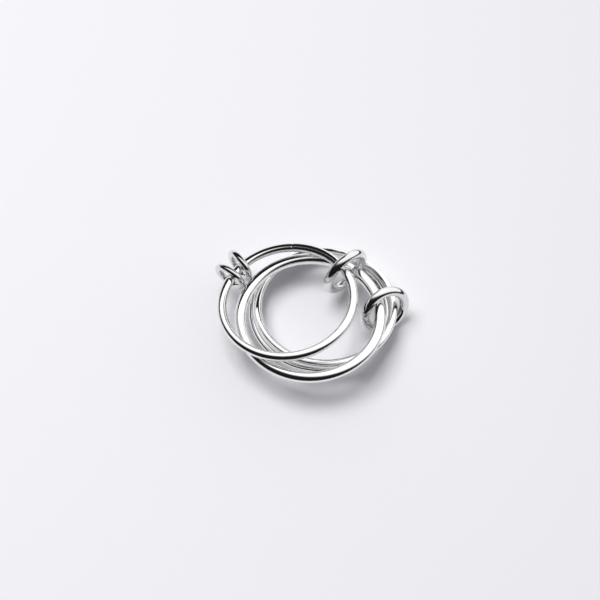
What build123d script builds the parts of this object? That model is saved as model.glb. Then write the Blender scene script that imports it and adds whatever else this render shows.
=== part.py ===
from build123d import *
import math
import os
import numpy as np

os.makedirs("parts", exist_ok=True)

# ------------------------------------------------ driving dimensions (millimetres, degrees)
band_bore = 18.13           # clear bore of the thick, outer and lower bands
front_undersize = 0.75      # the front band's bore is this much smaller
thin_wire = 1.3             # round wire of the front, outer and lower bands
thick_wire = 1.64           # round wire of the thick band
connector_wire = 1.38       # round wire of the two connectors
link_wire = 1.0             # round wire of the two small left links
play = 0.1                  # air between rings that lie or hang on one another
connector_play = 0.9        # connector bore beyond the three strands it can hold
link_play = 1.8             # link bore beyond the one strand it rides on

# how each big band slopes: rise toward +X and toward +Y
lower_slope = (0.7, -4.7)
outer_slope = (0.0, -4.6)
thick_slope = (1.3, -2.75)
front_slope = (6.7, -4.6)

# the side connector stands on the table; the three bands it holds run through its bore
side_turn = -60.6           # compass angle of its axis
side_lean = 18.2            # its axis is raised this much from level
thick_reach = (9.4, 0.87)   # direction from band centre to connector, and strand offset inward
lower_reach = (-5.6, -0.55)
outer_reach = (-5.8, -1.21)

# the rear connector stands on edge around the thick and the front band
rear_turn = -49.1
rear_reach = (55.2, -1.06)  # direction from the thick band's centre, and offset inward
front_inward = 0.64         # offset of the front band's strand in the rear connector
front_overhang = 2.25       # its strand past the thick band's edge, at the small links

# the two small links hang on the front band: axis angle and lean, and where on the band
link_front_turn = 55.5
link_front_lean = 5.7
link_front_bearing = 148.0
link_back_turn = 38.3
link_back_lean = 1.5
link_back_bearing = 134.5

# ------------------------------------------------ derived sizes
connector_bore = thick_wire + 2 * thin_wire + connector_play
link_bore = thin_wire + link_play
front_bore = band_bore - front_undersize
band_radius_thin = (band_bore + thin_wire) / 2
band_radius_thick = (band_bore + thick_wire) / 2
band_radius_front = (front_bore + thin_wire) / 2
connector_radius = (connector_bore + connector_wire) / 2
link_radius = (link_bore + link_wire) / 2
stack_step = thin_wire + thick_wire + play      # more than any two strands lying together

UP = Vector(0, 0, 1)


# ------------------------------------------------ placement helpers
def polar(angle, distance):
    """A level offset of the given length in a compass direction."""
    return Vector(distance * math.cos(math.radians(angle)), distance * math.sin(math.radians(angle)), 0)


def slope_normal(slope):
    """Unit normal of a band that rises by the two slope angles along +X and +Y."""
    rise_x, rise_y = (math.tan(math.radians(a)) for a in slope)
    return Vector(-rise_x, -rise_y, 1).normalized()


def turned_normal(turn, lean):
    """Unit axis of an upright ring from its compass angle and its lean."""
    level = math.cos(math.radians(lean))
    return Vector(
        level * math.cos(math.radians(turn)),
        level * math.sin(math.radians(turn)),
        math.sin(math.radians(lean)),
    )


def wire_middle(ring):
    """Points all along the middle of a ring's wire."""
    radius, wire, centre, axis = ring
    plane = Plane(origin=centre, z_dir=axis)
    turn = np.linspace(0, 2 * math.pi, 1440, endpoint=False)[:, None]
    return tuple(centre) + radius * (np.cos(turn) * tuple(plane.x_dir) + np.sin(turn) * tuple(plane.y_dir))


def air_between(ring, other):
    """Least air between two rings of round wire.

    A point on the middle of the first wire has a height off the other ring's plane and
    a distance from its axis; those two give its distance from the middle of that wire.
    """
    radius, wire, centre, axis = other
    away = wire_middle(ring) - tuple(centre)
    height = away @ tuple(axis)
    reach = np.sqrt((away**2).sum(axis=1) - height**2)
    return np.hypot(reach - radius, height).min() - (ring[1] + wire) / 2


def settled(ring, direction, others):
    """The ring moved along a direction until only the play is left to the nearest other."""
    radius, wire, centre, axis = ring
    for _ in range(120):
        least = min(air_between((radius, wire, centre, axis), other) for other in others)
        centre += direction * (play - least)
    return radius, wire, centre, axis


def beside(ring, reach, z):
    """Level spot at a height, outside a ring's centre by its radius and a further offset."""
    radius, wire, centre, axis = ring
    spot = centre + polar(reach[0], radius + reach[1])
    return Vector(spot.X, spot.Y, z)


def band_held_by(connector, radius, wire, slope, reach, z):
    """A sloping band at a height, one strand of which passes through a connector."""
    spot = connector[2] - polar(reach[0], radius + reach[1])
    return radius, wire, Vector(spot.X, spot.Y, z), slope_normal(slope)


# ------------------------------------------------ the rings: radius, wire, centre and axis of each
def side_connector():
    """Upright ring around the lower, outer and thick bands, standing on the table."""
    height = connector_radius * math.cos(math.radians(side_lean)) + connector_wire / 2
    return connector_radius, connector_wire, Vector(0, 0, height), turned_normal(side_turn, side_lean)


def lower_band(side):
    """Thin band, lowest in the stack, lying on the foot of the side connector."""
    band = band_held_by(side, band_radius_thin, thin_wire, lower_slope, lower_reach, side[2].Z)
    return settled(band, UP, [side])


def outer_band(side, lower):
    """Thin band on the lower one, furthest out to the right."""
    start = lower[2].Z + stack_step
    band = band_held_by(side, band_radius_thin, thin_wire, outer_slope, outer_reach, start)
    return settled(band, UP, [lower])


def thick_band(side, outer):
    """Heavier band over the two thin ones."""
    start = outer[2].Z + stack_step
    band = band_held_by(side, band_radius_thick, thick_wire, thick_slope, thick_reach, start)
    return settled(band, UP, [outer])


def front_band(thick):
    """Thin band on top, through the rear connector and over the thick band's edge.

    Its centre lies as far out toward the links as the overhang asks for, and across
    that direction where the strand's distance from the connector comes out right.
    """
    out, across = polar(link_front_bearing, 1), polar(link_front_bearing + 90, 1)
    edge = thick[0] + thick_wire / 2 + front_overhang
    start = thick[2] + out * (edge - band_radius_front) + UP * stack_step
    post = beside(thick, rear_reach, start.Z) - start
    step = post.dot(across) + math.sqrt((band_radius_front + front_inward) ** 2 - post.dot(out) ** 2)
    band = (band_radius_front, thin_wire, start + across * step, slope_normal(front_slope))
    return settled(band, UP, [thick])


def rear_connector(thick, front, outer):
    """Upright ring around the thick and the front band, hanging on the front band."""
    spot = beside(thick, rear_reach, front[2].Z)
    hung = (connector_radius, connector_wire, spot, turned_normal(rear_turn, 0))
    return settled(hung, UP, [front, outer])


def left_link(front, thick, bearing, turn, lean):
    """Small ring that hangs on the front band and leans on the edge of the thick band."""
    spot = beside(front, (bearing, 0), front[2].Z - thin_wire)
    link = (link_radius, link_wire, spot, turned_normal(turn, lean))
    for _ in range(4):
        link = settled(link, UP, [front])
        link = settled(link, polar(bearing, 1), [thick])
    return link


side = side_connector()
lower = lower_band(side)
outer = outer_band(side, lower)
thick = thick_band(side, outer)
front = front_band(thick)

rings = {
    "thick_band": thick,
    "outer_band": outer,
    "lower_band": lower,
    "front_band": front,
    "side_connector": side,
    "rear_connector": rear_connector(thick, front, outer),
    "left_link_front": left_link(front, thick, link_front_bearing, link_front_turn, link_front_lean),
    "left_link_back": left_link(front, thick, link_back_bearing, link_back_turn, link_back_lean),
}


# ------------------------------------------------ origin at the centre of the footprint, on the table
def wire_ring(radius, wire, centre, axis):
    """A closed ring of round wire about the given centre and axis."""
    return Plane(origin=centre, z_dir=axis) * Torus(radius, wire / 2)


def ends_along(direction):
    """Lowest and highest reach of all the rings along a unit direction."""
    low, high = [], []
    for radius, wire, centre, axis in rings.values():
        half = radius * math.sqrt(1 - axis.dot(direction) ** 2) + wire / 2
        low.append(centre.dot(direction) - half)
        high.append(centre.dot(direction) + half)
    return min(low), max(high)


middle_x = sum(ends_along(Vector(1, 0, 0))) / 2
middle_y = sum(ends_along(Vector(0, 1, 0))) / 2
to_origin = Pos(-middle_x, -middle_y, -ends_along(UP)[0])

for name, sizes in rings.items():
    export_step(to_origin * wire_ring(*sizes), "parts/" + name + ".step")
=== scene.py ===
import bpy
import math
import numpy as np
from mathutils import Matrix, Vector


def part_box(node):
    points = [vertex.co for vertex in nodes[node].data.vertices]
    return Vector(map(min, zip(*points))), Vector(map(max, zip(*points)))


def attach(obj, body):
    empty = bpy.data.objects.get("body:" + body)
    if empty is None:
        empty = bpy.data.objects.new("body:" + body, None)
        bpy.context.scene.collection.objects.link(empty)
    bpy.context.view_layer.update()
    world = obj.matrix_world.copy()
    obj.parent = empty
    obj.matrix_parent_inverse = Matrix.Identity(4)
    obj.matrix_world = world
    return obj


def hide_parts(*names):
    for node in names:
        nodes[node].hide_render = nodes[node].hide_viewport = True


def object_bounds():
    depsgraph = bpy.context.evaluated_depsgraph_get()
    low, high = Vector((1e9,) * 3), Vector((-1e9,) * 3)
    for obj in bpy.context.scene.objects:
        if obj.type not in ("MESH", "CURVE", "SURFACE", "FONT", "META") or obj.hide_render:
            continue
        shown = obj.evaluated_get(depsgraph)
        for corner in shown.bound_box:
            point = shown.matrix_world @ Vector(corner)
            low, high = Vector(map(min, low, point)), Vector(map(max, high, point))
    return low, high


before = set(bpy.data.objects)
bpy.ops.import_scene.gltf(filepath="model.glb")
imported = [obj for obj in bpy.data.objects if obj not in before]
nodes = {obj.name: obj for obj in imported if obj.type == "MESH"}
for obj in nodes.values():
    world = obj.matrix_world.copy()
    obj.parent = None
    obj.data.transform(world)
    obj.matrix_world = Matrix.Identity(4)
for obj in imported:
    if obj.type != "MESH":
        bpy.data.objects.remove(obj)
cad_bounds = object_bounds()

# ------------------------------------------------------------ wire sizes, metres
THIN_WIRE = 0.0013          # front, outer and lower bands
THICK_WIRE = 0.00164        # thick band
CONNECTOR_WIRE = 0.00138    # the two upright connectors
LINK_WIRE = 0.001           # the two small left links
LEVEL_SLACK = 0.2           # an axis this little below level still counts as level

# ------------------------------------------------------------ soldered joint of the front band
JOINT_BEARING = math.radians(86)        # where it is, as a compass angle from the band's centre
JOINT_DEPTH = 0.00005                   # how deep the wire dips at the joint
JOINT_WIDTH = 0.00011                   # half width of the dip
JOINT_REACH = 4                         # widths to each side in which the mesh is finer
JOINT_STEPS = 16                        # mesh steps in that reach

# ------------------------------------------------------------ silver finish, with painted shade on the connectors and links
BAND_TONE = 0.92                        # how much light the metal of the bands gives back
CONNECTOR_SHADED_TONE = 0.8                    # painted shade: the connectors' silver is drawn a little darker than the bands'
LINK_SHADED_TONE = 0.78                        # painted shade: the small links' silver is drawn darker still
WARMTH = np.array((1.0, 0.995, 0.99))   # silver's slight warmth: red, green, blue
TARNISH = 0.93                          # tone of the faintly tarnished patches against the rest
TARNISH_GRAIN = 160.0                   # tarnished patches per metre
TARNISH_EDGE = (0.4, 0.65)              # stretch of the noise over which a patch fades in
SMEAR_GRAIN = 420.0                     # cloudy smears per metre
SMEAR_EDGE = (0.35, 0.7)                # stretch of the noise over which a smear fades in
SMEAR_ROUGHNESS = (0.02, 0.07)          # roughness between smears and on them
POLISH_GRAIN = (300.0, 9000.0, 1.0)     # polishing marks per metre, along the wire and round it
POLISH_DEPTH = 0.00002                  # height that the polishing marks stand for
POLISH_SHARE = 0.06                     # how strongly that height turns the light
HAIRLINES = (                           # turn against the wire, grain along and across, patches
    (0.12, (260.0, 7000.0, 1.0), 380.0),
    (-0.5, (500.0, 6000.0, 1.0), 290.0),
)
HAIRLINE_WIDTH = 0.012                  # share of the noise's range that makes a line
HAIRLINE_EDGE = (0.5, 0.62)             # stretch of the noise over which a scratched patch fades in
HAIRLINE_ROUGHNESS = 0.16               # added where a scratch runs
HAIRLINE_DEPTH = 1.2                    # depth of a scratch against that of a polishing mark

# ------------------------------------------------------------ the view and the studio
VIEW_HEIGHT = math.radians(60)          # how steeply the camera looks down
CAMERA_AWAY = 0.2182                    # camera to the middle of the rings
LENS = 90.0
SENSOR = 36.0
NEAREST = 0.01                          # nothing closer to the camera than this is drawn
AIM = (0.00001, 0.002485)               # point looked at, off the middle of the rings' box
OFF_CENTRE = 0.001714                   # how far left and high the camera stands, not turned
BRIGHT_SIDE = (0.45, 0.766, 0.643)      # where the bright part of the surround is centred
FLOOR_SHARE = 0.5                       # how much of the surround's light the floor takes
SURROUND = (                            # place from dark side (-1) to bright side (1), brightness
    (-1.0, 0.012),
    (0.0, 0.012),
    (0.2, 0.05),
    (0.32, 0.4),
    (0.43, 1.0),
    (0.54, 1.2),
    (1.0, 1.25),
)
LAMP_PLACE = (-0.15, 0.08, 0.5)
LAMP_SIZE = 0.3
LAMP_BRIGHTNESS = 7.4
FLOOR_COLOUR = (0.86, 0.852, 0.892)
CARD_COLOUR = (0.012, 0.012, 0.012)
MATT_ROUGHNESS = 0.9
MATT_SHINE = 0.1
DARK_CARDS = (                          # reach across (x), reach along (y), height
    ((-0.035, 0.004), (0.009, 0.045), 0.014),
    ((-1.0, 1.0), (-1.0, -0.032), 0.0004),
    ((0.034, 1.0), (-0.032, 0.6), 0.0004),
)


def ring_frame(node):
    """Centre, unit axis and centreline radius of a wire ring, read from its CAD node.

    The axis is the direction in which the ring's points spread least, which the
    smallest eigenvector of their covariance gives, turned to point up or nearly level;
    the radius is half the sum of a point's furthest and nearest distance from it.
    """
    mesh = nodes[node].data
    points = np.empty(len(mesh.vertices) * 3)
    mesh.vertices.foreach_get("co", points)
    points = points.reshape(-1, 3)
    low, high = (np.array(corner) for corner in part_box(node))
    centre = (low + high) / 2
    spread = points - centre
    axis = np.linalg.eigh(spread.T @ spread)[1][:, 0]
    axis = axis if axis[2] > -LEVEL_SLACK else -axis
    flat = spread - np.outer(spread @ axis, axis)
    away = np.linalg.norm(flat, axis=1)
    return centre, axis, (away.max() + away.min()) / 2


def mesh_from_grid(name, grid, along_wire, round_wire):
    """A closed skin over a grid of points that wraps round both ways.

    Each cell of the grid is one four-sided face, its corners taken in the order that
    turns the face outward. Its map gives each corner its distance along the wire and
    round it, in metres.
    """
    rows, columns = grid.shape[:2]
    index = np.arange(rows * columns).reshape(rows, columns)
    along = np.roll(index, -1, axis=0)
    faces = np.stack(
        [index, along, np.roll(along, -1, axis=1), np.roll(index, -1, axis=1)], axis=-1
    ).reshape(-1, 4)
    mesh = bpy.data.meshes.new(name)
    mesh.from_pydata(grid.reshape(-1, 3).tolist(), [], faces.tolist())
    mesh.shade_smooth()
    u, v = np.meshgrid(along_wire, round_wire, indexing="ij")
    near, far = (slice(None, -1), slice(1, None))
    corners = ((near, near), (far, near), (far, far), (near, far))
    wrap = np.stack([np.stack([u[c], v[c]], axis=-1) for c in corners], axis=2)
    mesh.uv_layers.new(name="wrap").data.foreach_set("uv", wrap.ravel())
    piece = bpy.data.objects.new(name, mesh)
    bpy.context.scene.collection.objects.link(piece)
    return piece


def wire_ring(name, node, wire, joint, around=288, across=48):
    """A ring of round wire where its CAD node lies.

    With s running round the ring and t round the wire, a point is the centre plus
    (R + r cos t) times the outward direction at s, plus r sin t along the axis. At a
    soldered joint the wire's radius r is less by a bell curve of the distance from it.
    """
    centre, axis, radius = ring_frame(node)
    start = np.array((1.0, 0.0, 0.0) if joint is None else (math.cos(joint), math.sin(joint), 0.0))
    side = start - axis * (start @ axis)
    side /= np.linalg.norm(side)
    other = np.cross(axis, side)
    turn = np.linspace(0, 2 * np.pi, around + 1)
    if joint is not None:
        close = np.linspace(0, JOINT_REACH * JOINT_WIDTH, JOINT_STEPS + 1) / radius
        turn = np.union1d(turn, np.concatenate([close, 2 * np.pi - close]))
    round_wire = np.linspace(0, 2 * np.pi, across + 1)
    s = turn[:-1, None, None]
    t = round_wire[None, :-1, None]
    outward = np.cos(s) * side + np.sin(s) * other
    thickness = np.full_like(s, wire / 2)
    if joint is not None:
        apart = np.minimum(s, 2 * np.pi - s) * radius / JOINT_WIDTH
        thickness = thickness - JOINT_DEPTH * np.exp(-apart**2)
    grid = centre + (radius + thickness * np.cos(t)) * outward + thickness * np.sin(t) * axis
    return mesh_from_grid(name, grid, turn * radius, round_wire * wire / 2)


# ------------------------------------------------------------ finish
def polished_silver(name, tone_and_shade):
    """Mirror-polished metal with tarnish, smears, polishing marks and handling scratches."""
    material = bpy.data.materials.new(name)
    material.use_nodes = True
    tree = material.node_tree
    links = tree.links
    shader = tree.nodes["Principled BSDF"]
    shader.inputs["Metallic"].default_value = 1.0
    place = tree.nodes.new("ShaderNodeTexCoord")

    def noise(scale, detail, stretch=(1, 1, 1), turn=0, on="Object"):
        """Noise on the piece's own coordinates or on its map, stretched and turned."""
        mapping = tree.nodes.new("ShaderNodeMapping")
        mapping.inputs["Scale"].default_value = stretch
        mapping.inputs["Rotation"].default_value = (0, 0, turn)
        links.new(place.outputs[on], mapping.inputs["Vector"])
        texture = tree.nodes.new("ShaderNodeTexNoise")
        texture.inputs["Scale"].default_value = scale
        texture.inputs["Detail"].default_value = detail
        links.new(mapping.outputs["Vector"], texture.inputs["Vector"])
        return texture.outputs["Fac"]

    def ramp(source, given, wanted):
        """The source's given stretch carried over to the wanted range."""
        span = tree.nodes.new("ShaderNodeMapRange")
        span.inputs["From Min"].default_value = given[0]
        span.inputs["From Max"].default_value = given[1]
        span.inputs["To Min"].default_value = wanted[0]
        span.inputs["To Max"].default_value = wanted[1]
        links.new(source, span.inputs["Value"])
        return span.outputs["Result"]

    def combined(operation, one, two):
        """Two values put together by one operation."""
        node = tree.nodes.new("ShaderNodeMath")
        node.operation = operation
        links.new(one, node.inputs[0])
        links.new(two, node.inputs[1])
        return node.outputs["Value"]

    def hairlines(turn, stretch, patch_grain):
        """Long thin lines: where a drawn-out noise crosses its middle value, patch by patch."""
        streaks = noise(1, 1, stretch, turn, "UV")
        crossing = tree.nodes.new("ShaderNodeMath")
        crossing.operation = "COMPARE"
        crossing.inputs[1].default_value = 0.5
        crossing.inputs[2].default_value = HAIRLINE_WIDTH
        links.new(streaks, crossing.inputs[0])
        patches = ramp(noise(patch_grain, 1), HAIRLINE_EDGE, (0, 1))
        return combined("MULTIPLY", crossing.outputs["Value"], patches)

    scratches = combined("MAXIMUM", *(hairlines(*lines) for lines in HAIRLINES))
    smears = ramp(noise(SMEAR_GRAIN, 3), SMEAR_EDGE, SMEAR_ROUGHNESS)
    scratched = ramp(scratches, (0, 1), (0, HAIRLINE_ROUGHNESS))
    links.new(combined("ADD", smears, scratched), shader.inputs["Roughness"])
    # tone_and_shade is the silver's own tone on the bands, and a darker painted shade on the
    # connectors and links
    tint = tree.nodes.new("ShaderNodeMix")
    tint.data_type = "RGBA"
    tint.inputs["A"].default_value = (*(tone_and_shade * WARMTH), 1)
    tint.inputs["B"].default_value = (*(tone_and_shade * TARNISH * WARMTH), 1)
    links.new(ramp(noise(TARNISH_GRAIN, 2), TARNISH_EDGE, (0, 1)), tint.inputs["Factor"])
    links.new(tint.outputs["Result"], shader.inputs["Base Color"])
    bump = tree.nodes.new("ShaderNodeBump")
    bump.inputs["Strength"].default_value = POLISH_SHARE
    bump.inputs["Distance"].default_value = POLISH_DEPTH
    polish = noise(1, 2, POLISH_GRAIN, 0, "UV")
    cut = ramp(scratches, (0, 1), (0, HAIRLINE_DEPTH))
    links.new(combined("SUBTRACT", polish, cut), bump.inputs["Height"])
    links.new(bump.outputs["Normal"], shader.inputs["Normal"])
    return material


# ------------------------------------------------------------ the rings
band_silver = polished_silver("band_silver", BAND_TONE)
# the connectors and links get darker copies of the same silver: painted shade
shaded_connector_silver = polished_silver("shaded_connector_silver", CONNECTOR_SHADED_TONE)
shaded_link_silver = polished_silver("shaded_link_silver", LINK_SHADED_TONE)

for node, wire, slot, finish, joint in (
    ("front_band", THIN_WIRE, "band_metal", band_silver, JOINT_BEARING),
    ("thick_band", THICK_WIRE, "band_metal", band_silver, None),
    ("outer_band", THIN_WIRE, "band_metal", band_silver, None),
    ("lower_band", THIN_WIRE, "band_metal", band_silver, None),
    ("side_connector", CONNECTOR_WIRE, "connector_metal", shaded_connector_silver, None),
    ("rear_connector", CONNECTOR_WIRE, "connector_metal", shaded_connector_silver, None),
    ("left_link_front", LINK_WIRE, "link_metal", shaded_link_silver, None),
    ("left_link_back", LINK_WIRE, "link_metal", shaded_link_silver, None),
):
    ring = wire_ring(node + "_wire", node, wire, joint)
    ring.data.materials.append(finish)
    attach(ring, node)
    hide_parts(node)


# ------------------------------------------------------------ floor, light and camera
def plain(name, colour):
    """A matt surface of one colour."""
    material = bpy.data.materials.new(name)
    material.use_nodes = True
    shader = material.node_tree.nodes["Principled BSDF"]
    shader.inputs["Base Color"].default_value = (*colour, 1)
    shader.inputs["Roughness"].default_value = MATT_ROUGHNESS
    shader.inputs["Specular IOR Level"].default_value = MATT_SHINE
    return material


def floor_sheet(half=1.2):
    """A level square under the rings."""
    mesh = bpy.data.meshes.new("floor")
    corners = [(-half, -half, 0), (half, -half, 0), (half, half, 0), (-half, half, 0)]
    mesh.from_pydata(corners, [], [(0, 1, 2, 3)])
    sheet = bpy.data.objects.new("floor", mesh)
    bpy.context.scene.collection.objects.link(sheet)
    sheet.data.materials.append(plain("floor_paper", FLOOR_COLOUR))


def dark_card(across, along, height):
    """A level black card that only the rings' reflections see."""
    mesh = bpy.data.meshes.new("dark_card")
    corners = [(across[i], along[j], height) for i, j in ((0, 0), (1, 0), (1, 1), (0, 1))]
    mesh.from_pydata(corners, [], [(0, 1, 2, 3)])
    card = bpy.data.objects.new("dark_card", mesh)
    bpy.context.scene.collection.objects.link(card)
    card.data.materials.append(plain("card_black", CARD_COLOUR))
    for ray in ("camera", "diffuse", "shadow", "transmission"):
        setattr(card, "visible_" + ray, False)


def studio_surround():
    """A surround that is bright on one side and dark on the other, as a large soft window is.

    The brightness is read from a ramp along the share of each direction that points
    to the bright side.
    """
    world = bpy.data.worlds.new("studio")
    world.use_nodes = True
    tree = world.node_tree
    place = tree.nodes.new("ShaderNodeTexCoord")
    share = tree.nodes.new("ShaderNodeVectorMath")
    share.operation = "DOT_PRODUCT"
    share.inputs[1].default_value = Vector(BRIGHT_SIDE).normalized()
    tree.links.new(place.outputs["Generated"], share.inputs[0])
    span = tree.nodes.new("ShaderNodeMapRange")
    span.inputs["From Min"].default_value = -1
    span.inputs["From Max"].default_value = 1
    tree.links.new(share.outputs["Value"], span.inputs["Value"])
    ramp = tree.nodes.new("ShaderNodeValToRGB")
    stops = ramp.color_ramp.elements
    brightest = max(level for _, level in SURROUND)
    while len(stops) < len(SURROUND):
        stops.new(0.5)
    for stop, (place_along, level) in zip(stops, SURROUND):
        stop.position = (place_along + 1) / 2
        stop.color = (level / brightest,) * 3 + (1,)
    tree.links.new(span.outputs["Result"], ramp.inputs["Fac"])
    background = tree.nodes["Background"]
    path = tree.nodes.new("ShaderNodeLightPath")
    level = tree.nodes.new("ShaderNodeMapRange")
    level.inputs["To Min"].default_value = brightest
    level.inputs["To Max"].default_value = brightest * FLOOR_SHARE
    tree.links.new(path.outputs["Is Diffuse Ray"], level.inputs["Value"])
    tree.links.new(level.outputs["Result"], background.inputs["Strength"])
    tree.links.new(ramp.outputs["Color"], background.inputs["Color"])
    bpy.context.scene.world = world


def overhead_lamp():
    """A square light of even brightness, faced to the rings, that their polish doesn't show."""
    light = bpy.data.lights.new("overhead", "AREA")
    light.shape = "SQUARE"
    light.size = LAMP_SIZE
    light.energy = LAMP_BRIGHTNESS * math.pi * LAMP_SIZE**2
    lamp = bpy.data.objects.new("overhead", light)
    lamp.location = LAMP_PLACE
    lamp.rotation_euler = (-Vector(LAMP_PLACE)).to_track_quat("-Z", "Y").to_euler()
    lamp.visible_camera = False
    lamp.visible_glossy = False
    bpy.context.scene.collection.objects.link(lamp)


floor_sheet()
studio_surround()
overhead_lamp()
for card in DARK_CARDS:
    dark_card(*card)
bpy.context.scene.view_settings.view_transform = "Standard"

low, high = (Vector(corner) for corner in cad_bounds)
middle = (low + high) / 2
right = Vector((1, 0, 0))
up = Vector((0, math.sin(VIEW_HEIGHT), math.cos(VIEW_HEIGHT)))
back = Vector((0, -math.cos(VIEW_HEIGHT), math.sin(VIEW_HEIGHT)))
base = Vector((middle.x + AIM[0], middle.y + AIM[1], low.z))
camera = bpy.data.objects.new("camera", bpy.data.cameras.new("camera"))
camera.data.lens = LENS
camera.data.sensor_width = SENSOR
camera.data.clip_start = NEAREST
camera.location = base + back * CAMERA_AWAY + (up - right) * OFF_CENTRE
camera.rotation_euler = Matrix((right, up, back)).transposed().to_euler()
bpy.context.scene.collection.objects.link(camera)
bpy.context.scene.camera = camera
